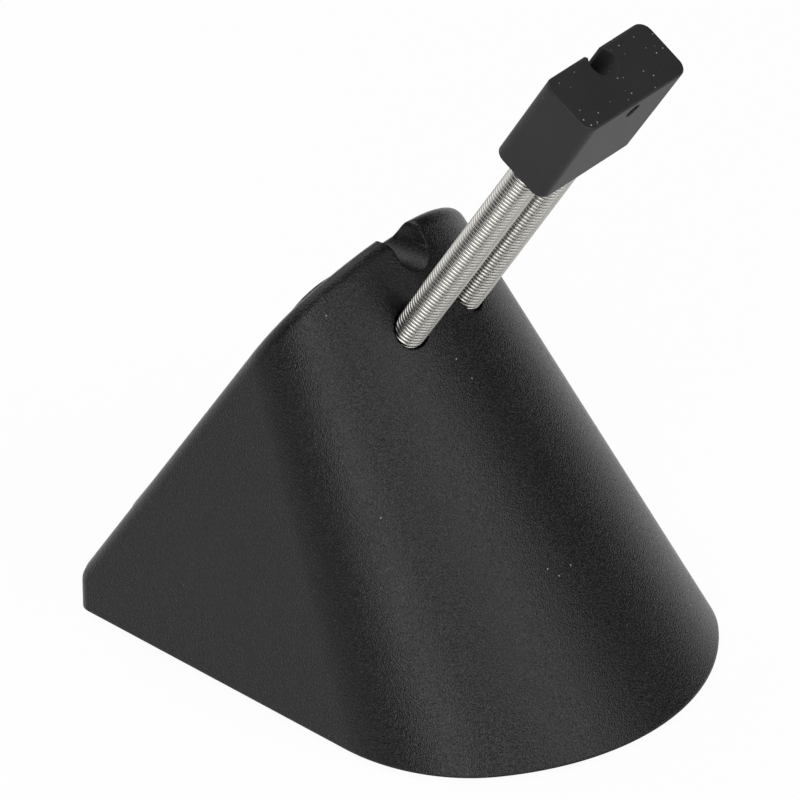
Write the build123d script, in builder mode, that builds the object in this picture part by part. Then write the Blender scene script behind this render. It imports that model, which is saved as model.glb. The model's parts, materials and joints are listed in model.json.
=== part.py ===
"""Mouse bungee: a weighted cone-fronted base with two sprung wires that hold a cable head."""

import os
from math import atan, atan2, cos, pi, radians, sin, sqrt, tan

from build123d import *

# Body outline, in millimetres. Heights marked "above the bottom edge" start at the shell's lower edge.
floor_gap = 1.0  # bottom edge of the shell above the desk
base_width = 76.0  # at the widest place of the bottom edge
base_depth = 97.4  # at the bottom edge
rear_narrowing = 7.4  # the sides run in by this much on each side, towards the back
side_taper = 6.66  # degrees between a side and the middle plane, at the bottom edge
apex_height = 170.3  # the walls taper towards one point, this far above the bottom edge
apex_setback = 125.7  # the apex behind the front of the bottom edge
nose_cone_angle = 14.1  # degrees between the axis and the skin of the middle front cone
corner_cone_angle = 7.07  # degrees, the same for the cones that turn into the sides
rear_edge_height = 5.3  # leaning strip at the back, up to its sharp edge, above the bottom edge
rear_slope = 57.7  # degrees between the rear face and the desk
rim_radius = 1.8
wall = 2.8  # measured level through the side walls
front_facets = 6  # flats for each cone of the front, on the hidden inside only

# Cable notch over the ridge
notch_width = 7.1
notch_depth = 5.78  # below the rounded ridge
notch_round = 2.2

# Rear cover, a tapering plate let into the rear face
cover_bottom = 12.0  # above the bottom edge
cover_top = 64.4  # above the bottom edge
cover_bottom_width = 45.0
cover_top_width = 28.0
cover_recess = 1.4
cover_proud = 1.4
cover_corner = 5.0
cover_edge = 0.4
cover_land = 4.0  # ledge that the cover lies on
cover_clearance = 0.1
window_top = 58.0  # above the bottom edge

# Spring arm: the springs run parallel to the arm axis, which leaves the front wall at arm_root
arm_angle = 57.7  # degrees above the desk, leaning forward
arm_root_height = 61.7  # above the bottom edge
spring_diameter = 5.8
spring_wire = 0.77
spring_spacing = 14.6
spring_length_free = 45.6  # from the front wall to the head
spring_hole = 6.5
spring_fit = 0.05  # radial clearance in the tubes and in the head
spring_end_gap = 0.3  # above the spring ends, inside the head
spring_hole_depth = 5.0  # depth of the wide mouth around each spring

# Tubes inside the shell that hold the lower ends of the springs
tube_length = 18.0  # from the arm root down to the floor of the tubes
tube_wall = 1.5

# Head
head_height = 19.7
head_top_width = 25.9
head_bottom_width = 24.4
head_depth = 11.1
head_corner = 2.2
head_edge = 0.6
socket_depth = 11.0
channel_diameter = 5.4
channel_setback = 2.5  # channel centre in front of the back face
channel_mouth = 3.8
channel_lip = 0.5
port_diameter = 2.8
port_depth = 4.0
port_drop = 2.6  # port centre below the top face

# Base plate and feet
plate_thickness = 3.0
plate_clearance = 0.15
foot_diameter = 12.0
foot_recess = 1.0
foot_clearance = 0.1
rear_foot_from_side = 12.0
rear_foot_from_back = 17.0
front_foot_from_side = 24.0
front_foot_from_front = 14.5

# Screws
screw_head_diameter = 4.6
screw_head_height = 1.4
screw_shank_diameter = 2.4
screw_clearance = 0.1  # radial
pilot_clearance = 0.05  # radial, in the holes that the screws bite into
screw_seat = 1.6  # depth of the counterbores in the base plate
screw_bite = 9.0  # length of shank inside a post
post_diameter = 6.4
post_height = 16.0
rear_post_from_side = 7.5
rear_post_from_back = 8.5
front_post_from_front = 17.5

# Weight
weight_width = 46.0
weight_length = 50.0
weight_height = 8.0
weight_y = 8.0
weight_corner = 4.0

# Cuts run this far past a face
cut_over = 1.0

# Worked out from the sizes above
half_width = base_width / 2
rear_half_width = half_width - rear_narrowing
slope = radians(rear_slope)
strip_lean = (apex_setback - base_depth) / apex_height
strip_tilt = atan(strip_lean)
rim_half_turn = (pi / 2 - slope + strip_tilt) / 2
rim_middle = (pi / 2 - slope - strip_tilt) / 2
rim_loss = rim_radius * (cos(rim_middle) / cos(rim_half_turn) - 1)
rear_overhang = strip_lean * rear_edge_height - rim_loss  # of the rounded edge behind the bottom edge
front_y = -(base_depth + rear_overhang) / 2
rear_y = front_y + base_depth
apex = Vector(0, front_y + apex_setback, floor_gap + apex_height)
plate_top = floor_gap + plate_thickness
pilot_radius = screw_shank_diameter / 2 + pilot_clearance

front_slope = atan2(apex_height, apex_setback)
ridge_run = 1 / tan(front_slope) + 1 / tan(slope)
ridge_sharp = (base_depth + rear_edge_height * (strip_lean + 1 / tan(slope))) / ridge_run
ridge_drop = rim_radius * (1 / cos((front_slope + slope) / 2) - 1)
ridge_top_z = floor_gap + ridge_sharp - ridge_drop
notch_floor_z = ridge_top_z - notch_depth
core_top = notch_floor_z - wall
rear_plane = Plane(
    origin=(0, rear_y + strip_lean * rear_edge_height, floor_gap + rear_edge_height),
    x_dir=(-1, 0, 0),
    z_dir=(0, sin(slope), cos(slope)),
)

tilt = radians(arm_angle)
arm_direction = Vector(0, -cos(tilt), sin(tilt))
arm_root = Vector(0, front_y + arm_root_height / tan(front_slope), floor_gap + arm_root_height)
spring_radius = spring_diameter / 2
spring_x = spring_spacing / 2
spring_bore = spring_radius + spring_fit
tube_radius = spring_bore + tube_wall
socket_end = spring_length_free + socket_depth

spring_places = [(-spring_x, 0), (spring_x, 0)]
rear_post_x = rear_half_width - rear_post_from_side
post_places = [
    (-rear_post_x, rear_y - rear_post_from_back),
    (rear_post_x, rear_y - rear_post_from_back),
    (0, front_y + front_post_from_front),
]
rear_foot_x = rear_half_width - rear_foot_from_side
front_foot_x = half_width - front_foot_from_side
foot_places = {
    "foot_front_left": (-front_foot_x, front_y + front_foot_from_front),
    "foot_front_right": (front_foot_x, front_y + front_foot_from_front),
    "foot_rear_left": (-rear_foot_x, rear_y - rear_foot_from_back),
    "foot_rear_right": (rear_foot_x, rear_y - rear_foot_from_back),
}


def arm_plane(distance):
    """Plane square to the arm axis; its local +Y points to the back of the head."""
    return Plane(origin=arm_root + arm_direction * distance, x_dir=(1, 0, 0), z_dir=arm_direction)


def touching_axis(axis, axis_cosine, normal, normal_cosine):
    """Unit direction with given cosines to an axis and to a normal, in front of both."""
    shared = axis.dot(normal)
    along_axis = (axis_cosine - shared * normal_cosine) / (1 - shared**2)
    along_normal = (normal_cosine - shared * axis_cosine) / (1 - shared**2)
    between = axis * along_axis + normal * along_normal
    return between + axis.cross(normal).normalized() * sqrt(1 - between.length**2)


def turn_about(axis, line, other_line):
    """Angle in degrees between two lines, seen along an axis."""
    return (line - axis * axis.dot(line)).get_angle(other_line - axis * axis.dot(other_line))


def mirrored(line):
    """The same line on the left side."""
    return Vector(-line.X, line.Y, line.Z)


def at_bottom(line):
    """Where a line from the apex reaches the height of the bottom edge."""
    end = apex + line * (apex_height / -line.Z)
    return end.X, end.Y


def cone_sector(axis, angle, first_line, sweep):
    """Part of a right circular cone below the apex, turned about its axis from its first line."""
    reach = 2 * apex_height
    with BuildPart() as sector:
        with BuildSketch(Plane(apex, x_dir=axis, z_dir=axis.cross(first_line))):
            with BuildLine():
                Polyline((0, 0), (reach, 0), (reach, reach * tan(radians(angle))), close=True)
            make_face()
        revolve(axis=Axis(apex, axis), revolution_arc=sweep)
        split(bisect_by=Plane.XY.offset(floor_gap), keep=Keep.TOP)
    return sector.part


def tapered_form(plan, inset):
    """Flat-sided form over a plan at the bottom edge; an inset keeps its front and sides parallel."""
    share = 1 - inset / half_width
    with BuildSketch(Plane.XY.offset(floor_gap)) as outline:
        with BuildLine():
            Polyline(*[(share * x, front_y + inset + share * (y - front_y)) for x, y in plan], close=True)
        make_face()
    tip = Vertex(0, front_y + inset + share * apex_setback, floor_gap + share * apex_height)
    with BuildPart() as form:
        loft([outline.sketch, tip], ruled=True)
    return form.part


def notch_outline():
    """U-shaped cable notch, open at the top, across the ridge."""
    radius = notch_width / 2
    with BuildSketch(Plane.XZ) as notch:
        with Locations((0, notch_floor_z + radius)):
            Circle(radius)
        with Locations((0, notch_floor_z + radius)):
            Rectangle(notch_width, ridge_top_z - notch_floor_z, align=(Align.CENTER, Align.MIN))
        with Locations((0, ridge_top_z)):
            Rectangle(2 * notch_width, notch_width, align=(Align.CENTER, Align.MIN))
        shoulders = notch.vertices().group_by(Axis.Y)[-2].sort_by(Axis.X)[1:3]
        fillet(shoulders, radius=notch_round)
    return notch.sketch


def cover_outline(plane, low, high, margin, corner):
    """Tapering outline of the rear cover between two heights, shrunk by a margin at the sides."""
    rise = sin(slope)
    lean = (cover_bottom_width - cover_top_width) / 2 / (cover_top - cover_bottom)
    low_half = cover_bottom_width / 2 - lean * (low - cover_bottom) - margin
    high_half = cover_bottom_width / 2 - lean * (high - cover_bottom) - margin
    low_up = (low - rear_edge_height) / rise
    high_up = (high - rear_edge_height) / rise
    with BuildSketch(plane) as outline:
        with BuildLine():
            Polyline(
                (-low_half, low_up),
                (low_half, low_up),
                (high_half, high_up),
                (-high_half, high_up),
                close=True,
            )
        make_face()
        fillet(outline.vertices(), radius=corner)
    return outline.sketch


os.makedirs("parts", exist_ok=True)

# The front skin is three right circular cones with one apex. Each corner cone touches the nose cone
# along one line and the side wall along another, so that the skin runs round without a crease.
nose_cone = radians(nose_cone_angle)
corner_cone = radians(corner_cone_angle)
cone_step = nose_cone - corner_cone
front_line = Vector(0, -apex_setback, -apex_height).normalized()
side_forward = Vector(0, -1, 0).rotate(Axis.Z, side_taper)
side_normal = (apex - Vector(rear_half_width, rear_y, floor_gap)).cross(side_forward).normalized()
nose_axis = front_line.rotate(Axis.X, nose_cone_angle)
corner_axis = touching_axis(nose_axis, cos(cone_step), side_normal, -sin(corner_cone))
side_line = (corner_axis + side_normal * sin(corner_cone)) * (1 / cos(corner_cone))
joint_line = (corner_axis * sin(nose_cone) - nose_axis * sin(corner_cone)) * (1 / sin(cone_step))
corner_sweep = turn_about(corner_axis, side_line, joint_line)
nose_sweep = 2 * turn_about(nose_axis, joint_line, front_line)
cones = [
    (corner_axis, corner_cone_angle, side_line, corner_sweep),
    (nose_axis, nose_cone_angle, joint_line, nose_sweep),
    (mirrored(corner_axis), corner_cone_angle, mirrored(joint_line), corner_sweep),
]

# Plans at the bottom edge: the core between the cone axes, and the whole front in flats
back_corners = [(-rear_half_width, rear_y), (rear_half_width, rear_y)]
core_lines = [side_line, corner_axis, nose_axis, mirrored(corner_axis), mirrored(side_line)]
core_plan = back_corners + [at_bottom(line) for line in core_lines]
flat_lines = []
for axis, angle, first_line, sweep in cones:
    for step in range(front_facets):
        flat_lines.append(first_line.rotate(Axis(apex, axis), sweep * step / front_facets))
flat_lines.append(mirrored(side_line))
flat_plan = back_corners + [at_bottom(line) for line in flat_lines]

# Outer form of the body: cone front, leaning sides, sloped rear face and a rounded rim
with BuildPart() as outer_form:
    add(tapered_form(core_plan, 0))
    for cone in cones:
        add(cone_sector(*cone))
    split(bisect_by=rear_plane, keep=Keep.BOTTOM)
    rear_face = outer_form.faces().filter_by(rear_plane).sort_by(Axis.Y)[-1]
    rear_strip = outer_form.faces().sort_by(Axis.Y)[-1]
    strip_ends = rear_strip.edges().filter_by(Axis.X, reverse=True)
    fillet(rear_face.edges() + strip_ends, radius=rim_radius)

# Hollow inside the shell, closed below the cable notch
with BuildPart() as inner_core:
    add(tapered_form(flat_plan, wall))
    split(bisect_by=rear_plane.offset(-wall), keep=Keep.BOTTOM)
    split(bisect_by=Plane.XY.offset(core_top), keep=Keep.BOTTOM)

# Spring tubes with closed ends and the three screw posts, trimmed to the outer form
with BuildPart() as inner_bosses:
    with BuildSketch(arm_plane(-tube_length - tube_wall)):
        with Locations(*spring_places):
            Circle(tube_radius)
    extrude(amount=tube_wall + tube_length + 2 * wall)
    with BuildSketch(Plane.XY.offset(plate_top)):
        with Locations(*post_places):
            Circle(post_diameter / 2)
    extrude(amount=post_height)
    add(outer_form.part, mode=Mode.INTERSECT)

with BuildPart() as body_shell:
    add(outer_form.part)
    add(inner_core.part, mode=Mode.SUBTRACT)
    add(inner_bosses.part)
    extrude(notch_outline(), amount=base_depth, both=True, mode=Mode.SUBTRACT)
    with BuildSketch(arm_plane(-spring_hole_depth)):
        with Locations(*spring_places):
            Circle(spring_hole / 2)
    extrude(amount=spring_length_free, mode=Mode.SUBTRACT)
    with BuildSketch(arm_plane(-tube_length)):
        with Locations(*spring_places):
            Circle(spring_bore)
    extrude(amount=tube_length, mode=Mode.SUBTRACT)
    with BuildSketch(Plane.XY.offset(plate_top)):
        with Locations(*post_places):
            Circle(pilot_radius)
    extrude(amount=screw_bite + cut_over, mode=Mode.SUBTRACT)
    extrude(
        cover_outline(rear_plane, cover_bottom, cover_top, -cover_clearance, cover_corner),
        amount=-cover_recess,
        mode=Mode.SUBTRACT,
    )
    extrude(
        cover_outline(rear_plane, cover_bottom + cover_land, window_top, cover_land, cover_corner),
        amount=-2 * wall,
        mode=Mode.SUBTRACT,
    )
body_shell.part.label = "body_shell"
export_step(body_shell.part, "parts/body_shell.step")

# Rear cover: lies in its recess, below the cable notch
with BuildPart() as rear_cover:
    cover_floor = rear_plane.offset(-cover_recess)
    extrude(
        cover_outline(cover_floor, cover_bottom, cover_top, 0, cover_corner),
        amount=cover_recess + cover_proud,
    )
    chamfer(rear_cover.faces().filter_by(rear_plane).sort_by(Axis.Y)[-1].edges(), length=cover_edge)
rear_cover.part.label = "rear_cover"
export_step(rear_cover.part, "parts/rear_cover.step")

# Base plate: closes the bottom of the shell, with recesses for the feet
with BuildPart() as base_plate:
    plate_inset = wall + plate_clearance
    add(tapered_form(flat_plan, plate_inset))
    split(bisect_by=Plane.XY.offset(plate_top), keep=Keep.BOTTOM)
    with BuildSketch(Plane.XY.offset(floor_gap)):
        with Locations(*foot_places.values()):
            Circle(foot_diameter / 2 + foot_clearance)
    extrude(amount=foot_recess, mode=Mode.SUBTRACT)
    with BuildSketch(Plane.XY.offset(floor_gap)):
        with Locations(*post_places):
            Circle(screw_head_diameter / 2 + screw_clearance)
    extrude(amount=screw_seat, mode=Mode.SUBTRACT)
    with BuildSketch(Plane.XY.offset(floor_gap)):
        with Locations(*post_places):
            Circle(screw_shank_diameter / 2 + screw_clearance)
    extrude(amount=plate_thickness, mode=Mode.SUBTRACT)
base_plate.part.label = "base_plate"
export_step(base_plate.part, "parts/base_plate.step")

# Three screws hold the base plate to the posts of the shell
with BuildPart() as base_screws:
    with BuildSketch(Plane.XY.offset(floor_gap + screw_seat)):
        with Locations(*post_places):
            Circle(screw_head_diameter / 2)
    extrude(amount=-screw_head_height)
    with BuildSketch(Plane.XY.offset(floor_gap + screw_seat)):
        with Locations(*post_places):
            Circle(screw_shank_diameter / 2)
    extrude(amount=plate_thickness - screw_seat + screw_bite)
base_screws.part.label = "base_screws"
export_step(base_screws.part, "parts/base_screws.step")

# Weight: a steel block glued on the base plate
with BuildPart() as weight_block:
    with BuildSketch(Plane.XY.offset(plate_top)):
        with Locations((0, weight_y)):
            RectangleRounded(weight_width, weight_length, weight_corner)
    extrude(amount=weight_height)
weight_block.part.label = "weight_block"
export_step(weight_block.part, "parts/weight_block.step")

# Rubber feet, glued into the recesses of the base plate
for name, (x, y) in foot_places.items():
    with BuildPart() as foot:
        with BuildSketch(Plane((x, y, 0))):
            Circle(foot_diameter / 2)
        extrude(amount=floor_gap + foot_recess)
    foot.part.label = name
    export_step(foot.part, f"parts/{name}.step")

# Springs: close-wound coils, drawn as plain tubes of the same outer and inner width
for name, place in (("left_spring", spring_places[0]), ("right_spring", spring_places[1])):
    with BuildPart() as spring:
        with BuildSketch(arm_plane(-tube_length)):
            with Locations(place):
                Circle(spring_radius)
                Circle(spring_radius - spring_wire, mode=Mode.SUBTRACT)
        extrude(amount=tube_length + socket_end)
    spring.part.label = name
    export_step(spring.part, f"parts/{name}.step")

# Head: a rubber block with a cable channel open to the back, a blind port and two spring sockets
with BuildPart() as cable_head:
    head_middle = arm_plane(spring_length_free)
    with BuildSketch(Plane(head_middle.origin, x_dir=(1, 0, 0), z_dir=head_middle.y_dir * -1)):
        with BuildLine():
            Polyline(
                (-head_bottom_width / 2, 0),
                (head_bottom_width / 2, 0),
                (head_top_width / 2, head_height),
                (-head_top_width / 2, head_height),
                close=True,
            )
        make_face()
    extrude(amount=head_depth / 2, both=True)
    head_ends = cable_head.faces().filter_by(head_middle)
    fillet(cable_head.edges() - head_ends.edges() - cable_head.edges().filter_by(Axis.X), radius=head_corner)
    chamfer(cable_head.faces().filter_by(head_middle).edges(), length=head_edge)
    with BuildSketch(arm_plane(spring_length_free)) as channel:
        with Locations((0, head_depth / 2 - channel_setback)):
            Circle(channel_diameter / 2)
            Rectangle(channel_mouth, head_depth, align=(Align.CENTER, Align.MIN))
        with Locations((0, head_depth / 2)):
            Rectangle(head_top_width, head_depth, align=(Align.CENTER, Align.MIN))
        lips = channel.vertices().group_by(Axis.Y)[-2].sort_by(Axis.X)[1:3]
        fillet(lips, radius=channel_lip)
    extrude(amount=head_height, mode=Mode.SUBTRACT)
    port_centre = arm_plane(spring_length_free + head_height - port_drop).from_local_coords(
        (0, -head_depth / 2, 0)
    )
    with BuildSketch(Plane(port_centre, x_dir=(1, 0, 0), z_dir=arm_plane(0).y_dir)):
        Circle(port_diameter / 2)
    extrude(amount=port_depth, mode=Mode.SUBTRACT)
    with BuildSketch(arm_plane(spring_length_free)):
        with Locations(*spring_places):
            Circle(spring_bore)
    extrude(amount=socket_depth + spring_end_gap, mode=Mode.SUBTRACT)
cable_head.part.label = "cable_head"
export_step(cable_head.part, "parts/cable_head.step")
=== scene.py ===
"""Looks of a mouse bungee: a moulded cone-fronted base, two coil springs and a rubber cable head."""

import json
from math import cos, pi, radians, sin, sqrt

import bpy
from bpy.props import FloatProperty, IntProperty, PointerProperty, StringProperty
from mathutils import Matrix, Vector


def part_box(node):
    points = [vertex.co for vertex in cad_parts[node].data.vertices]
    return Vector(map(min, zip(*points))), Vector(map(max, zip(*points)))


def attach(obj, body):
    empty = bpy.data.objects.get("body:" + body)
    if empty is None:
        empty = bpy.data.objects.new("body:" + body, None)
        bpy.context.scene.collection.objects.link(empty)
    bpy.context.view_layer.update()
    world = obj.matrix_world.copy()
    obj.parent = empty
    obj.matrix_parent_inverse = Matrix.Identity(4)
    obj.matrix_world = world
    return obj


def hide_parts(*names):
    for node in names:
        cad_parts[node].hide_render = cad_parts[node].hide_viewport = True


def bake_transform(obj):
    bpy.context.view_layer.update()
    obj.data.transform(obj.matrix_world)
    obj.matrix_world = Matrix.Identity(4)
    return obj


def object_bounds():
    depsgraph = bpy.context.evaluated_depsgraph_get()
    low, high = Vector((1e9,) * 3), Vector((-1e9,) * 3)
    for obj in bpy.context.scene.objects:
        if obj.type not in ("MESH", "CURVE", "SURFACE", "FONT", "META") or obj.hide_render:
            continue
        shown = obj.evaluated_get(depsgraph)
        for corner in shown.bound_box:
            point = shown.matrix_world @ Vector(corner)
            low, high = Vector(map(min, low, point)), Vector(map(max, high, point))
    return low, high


bl_info = {
    "name": "Mouse Bungee",
    "version": (1, 0, 0),
    "blender": (4, 5, 0),
    "location": "View3D > Sidebar > Mouse Bungee",
    "description": "Dresses the packed mouse bungee with mouldings, coils, rubber and a studio stage",
    "category": "Object",
}

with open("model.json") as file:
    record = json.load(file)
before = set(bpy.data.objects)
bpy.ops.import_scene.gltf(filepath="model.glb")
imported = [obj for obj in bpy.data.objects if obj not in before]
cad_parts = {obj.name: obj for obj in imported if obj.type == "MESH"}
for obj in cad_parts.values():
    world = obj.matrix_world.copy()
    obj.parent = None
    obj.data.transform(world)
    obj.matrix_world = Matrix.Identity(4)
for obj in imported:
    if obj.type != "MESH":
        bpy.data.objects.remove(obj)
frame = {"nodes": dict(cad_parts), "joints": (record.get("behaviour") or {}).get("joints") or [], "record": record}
cad_low, cad_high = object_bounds()

MM = 0.001
UP = Vector((0, 0, 1))
SIDES = (-0.5, 0.5)  # left and right of the middle, as shares of a width
CUT_REACH = 0.0001 * MM  # points this near to a cut are taken as on it
MERGE_REACH = 0.001 * MM  # points this near to each other are one
PLANE_REACH = 0.005 * MM  # edges this near to a plane lie on it
LINE_REACH = 0.01 * MM  # edges this near to a line lie on it
EDGE_REACH = 0.1 * MM  # edges this near to a piece's lowest point are its bottom edge
SAME_WAY = 0.999  # faces whose normals have this cosine or more face the same way

# Edges that turn more than a crease stay sharp.
SHELL_CREASE = radians(28)
PLATE_CREASE = radians(25)
SMALL_PIECE_CREASE = radians(35)
BROAD_FACES_LEAD = 60  # weight of the larger faces in the shading

# Flats round the round pieces and bores, and steps in the rounded edges.
ROUND_STEPS = 64
SMALL_ROUND_STEPS = 48
PORT_STEPS = 40
SHANK_STEPS = 32
WIRE_STEPS = 8
WIDE_EDGE_STEPS = 8
SMALL_EDGE_STEPS = 5
FINE_EDGE_STEPS = 4

ARM_MIDDLE = Vector(frame["joints"][0]["pos_m"])


class BungeeBody(bpy.types.PropertyGroup):
    """Sizes of the moulded shell: three cones with one apex, two flat sides and a sloped rear face."""

    depth: FloatProperty(
        name="Depth", description="Bottom edge, front to back", default=97.4 * MM, unit="LENGTH"
    )
    rear_half_width: FloatProperty(
        name="Rear half width", description="Bottom edge at the back", default=30.6 * MM, unit="LENGTH"
    )
    side_taper: FloatProperty(
        name="Side taper",
        description="A side against the middle plane",
        default=radians(6.66),
        subtype="ANGLE",
    )
    apex_height: FloatProperty(
        name="Apex height", description="Apex above the bottom edge", default=170.3 * MM, unit="LENGTH"
    )
    apex_setback: FloatProperty(
        name="Apex setback", description="Apex behind the front", default=125.7 * MM, unit="LENGTH"
    )
    nose_cone: FloatProperty(
        name="Nose cone",
        description="Half angle of the middle cone",
        default=radians(14.1),
        subtype="ANGLE",
    )
    corner_cone: FloatProperty(
        name="Corner cone",
        description="Half angle of the outer cones",
        default=radians(7.07),
        subtype="ANGLE",
    )
    rear_edge: FloatProperty(
        name="Rear edge", description="Height of the strip at the back", default=5.3 * MM, unit="LENGTH"
    )
    rear_slope: FloatProperty(
        name="Rear slope", description="Rear face above the desk", default=radians(57.7), subtype="ANGLE"
    )
    rim: FloatProperty(
        name="Rim", description="Width of the rounded rim", default=3.8 * MM, unit="LENGTH"
    )
    wall: FloatProperty(
        name="Wall", description="Thickness of the shell", default=2.8 * MM, unit="LENGTH"
    )
    core_top: FloatProperty(
        name="Core top", description="Top of the hollow above the desk", default=60.0 * MM, unit="LENGTH"
    )
    notch_width: FloatProperty(
        name="Notch width", description="Cable notch over the ridge", default=7.1 * MM, unit="LENGTH"
    )
    notch_floor: FloatProperty(
        name="Notch floor", description="Notch floor above the desk", default=68.0 * MM, unit="LENGTH"
    )
    notch_shoulder: FloatProperty(
        name="Notch shoulder",
        description="Height where the notch flares out",
        default=73.78 * MM,
        unit="LENGTH",
    )
    notch_round: FloatProperty(
        name="Notch round",
        description="Rounding of the notch's shoulders",
        default=2.2 * MM,
        unit="LENGTH",
    )
    cover_gap: FloatProperty(
        name="Cover gap",
        description="Between the rear cover and its recess",
        default=0.1 * MM,
        unit="LENGTH",
    )
    hole_diameter: FloatProperty(
        name="Hole diameter", description="Mouth round a spring", default=6.5 * MM, unit="LENGTH"
    )
    hole_depth: FloatProperty(
        name="Hole depth", description="Depth of a mouth", default=5.0 * MM, unit="LENGTH"
    )
    sweep_steps: IntProperty(name="Sweep steps", description="Flats in the turn of one cone", default=40)
    rings: IntProperty(name="Rings", description="Level cuts that keep the faces small", default=24)
    ring_pitch: FloatProperty(
        name="Ring pitch", description="Between two level cuts", default=3.0 * MM, unit="LENGTH"
    )


class BungeeArm(bpy.types.PropertyGroup):
    """Sizes of the sprung arm and its head."""

    angle: FloatProperty(
        name="Arm angle",
        description="Lean of the arm above the desk",
        default=radians(57.7),
        subtype="ANGLE",
    )
    free_length: FloatProperty(
        name="Free length",
        description="Spring between the wall and the head",
        default=45.6 * MM,
        unit="LENGTH",
    )
    spacing: FloatProperty(
        name="Spacing", description="Between the two spring axes", default=14.6 * MM, unit="LENGTH"
    )
    coil_diameter: FloatProperty(
        name="Coil diameter", description="Outside of a spring", default=5.8 * MM, unit="LENGTH"
    )
    wire: FloatProperty(
        name="Wire", description="Thickness of the spring wire", default=0.77 * MM, unit="LENGTH"
    )
    sunk_length: FloatProperty(
        name="Sunk length", description="Coil below the wall's mouth", default=4.6 * MM, unit="LENGTH"
    )
    held_length: FloatProperty(
        name="Held length", description="Coil inside the head", default=4.0 * MM, unit="LENGTH"
    )
    turn_steps: IntProperty(
        name="Turn steps", description="Straight steps in one turn of wire", default=28
    )
    head_height: FloatProperty(
        name="Head height", description="Along the arm", default=19.7 * MM, unit="LENGTH"
    )
    head_top_width: FloatProperty(
        name="Head top width", description="Across the free end", default=25.9 * MM, unit="LENGTH"
    )
    head_bottom_width: FloatProperty(
        name="Head bottom width", description="Across the spring end", default=24.4 * MM, unit="LENGTH"
    )
    head_depth: FloatProperty(
        name="Head depth", description="From front face to back face", default=11.1 * MM, unit="LENGTH"
    )
    head_corner: FloatProperty(
        name="Head corner", description="Radius of the long edges", default=2.2 * MM, unit="LENGTH"
    )
    head_edge: FloatProperty(
        name="Head edge", description="Break round both ends", default=0.3 * MM, unit="LENGTH"
    )
    channel_diameter: FloatProperty(
        name="Channel diameter", description="Bore for the cable", default=5.4 * MM, unit="LENGTH"
    )
    channel_setback: FloatProperty(
        name="Channel setback",
        description="Bore axis in front of the back face",
        default=2.5 * MM,
        unit="LENGTH",
    )
    channel_mouth: FloatProperty(
        name="Channel mouth", description="Slot into the bore", default=3.8 * MM, unit="LENGTH"
    )
    socket_gap: FloatProperty(
        name="Socket gap", description="Round a spring in the head", default=0.05 * MM, unit="LENGTH"
    )
    socket_spare: FloatProperty(
        name="Socket spare", description="Beyond a spring's end", default=0.5 * MM, unit="LENGTH"
    )
    port_diameter: FloatProperty(
        name="Port diameter",
        description="Small blind hole in the front",
        default=2.8 * MM,
        unit="LENGTH",
    )
    port_depth: FloatProperty(
        name="Port depth", description="Depth of that hole", default=4.0 * MM, unit="LENGTH"
    )
    port_drop: FloatProperty(
        name="Port drop", description="Hole centre below the top", default=2.6 * MM, unit="LENGTH"
    )


class BungeeFeet(bpy.types.PropertyGroup):
    """Sizes of a rubber foot, beyond the diameter and height that the frame gives."""

    edge: FloatProperty(
        name="Edge", description="Rounding round the sole", default=0.5 * MM, unit="LENGTH"
    )
    ring: FloatProperty(
        name="Ring", description="Flat ring of the sole", default=1.2 * MM, unit="LENGTH"
    )
    step: FloatProperty(name="Step", description="Slope into the dish", default=0.3 * MM, unit="LENGTH")
    dish: FloatProperty(name="Dish", description="Depth of the dish", default=0.25 * MM, unit="LENGTH")


class BungeeScrews(bpy.types.PropertyGroup):
    """Sizes of a cross-headed screw under the base plate."""

    head_diameter: FloatProperty(
        name="Head diameter", description="Pan head", default=4.6 * MM, unit="LENGTH"
    )
    head_height: FloatProperty(
        name="Head height", description="Pan head", default=1.4 * MM, unit="LENGTH"
    )
    head_round: FloatProperty(
        name="Head round", description="Rounding of the head", default=0.4 * MM, unit="LENGTH"
    )
    shank_diameter: FloatProperty(
        name="Shank diameter", description="Thread", default=2.4 * MM, unit="LENGTH"
    )
    cross_length: FloatProperty(
        name="Cross length", description="Across the recess", default=2.6 * MM, unit="LENGTH"
    )
    cross_width: FloatProperty(
        name="Cross width", description="One wing", default=0.55 * MM, unit="LENGTH"
    )
    cross_depth: FloatProperty(
        name="Cross depth", description="Of the recess", default=0.9 * MM, unit="LENGTH"
    )


class BungeeLook(bpy.types.PropertyGroup):
    """Colours of the finishes, as sRGB hex values."""

    abs_colour: StringProperty(name="ABS", description="Moulded base", default="#131314")
    rubber_colour: StringProperty(name="Rubber", description="Cable head", default="#1e1e1f")
    foot_colour: StringProperty(name="Foot rubber", description="Feet", default="#1d1d1e")
    wire_colour: StringProperty(name="Spring wire", description="Springs", default="#b0aea9")
    screw_colour: StringProperty(name="Screws", description="Zinc plated screws", default="#b9bcc0")
    iron_colour: StringProperty(name="Weight", description="Ballast block", default="#6d6d70")
    dust_colour: StringProperty(name="Dust", description="Specks on the plastic", default="#c9c8c4")
    floor_colour: StringProperty(name="Floor", description="Studio floor", default="#f4f4f4")


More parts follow.
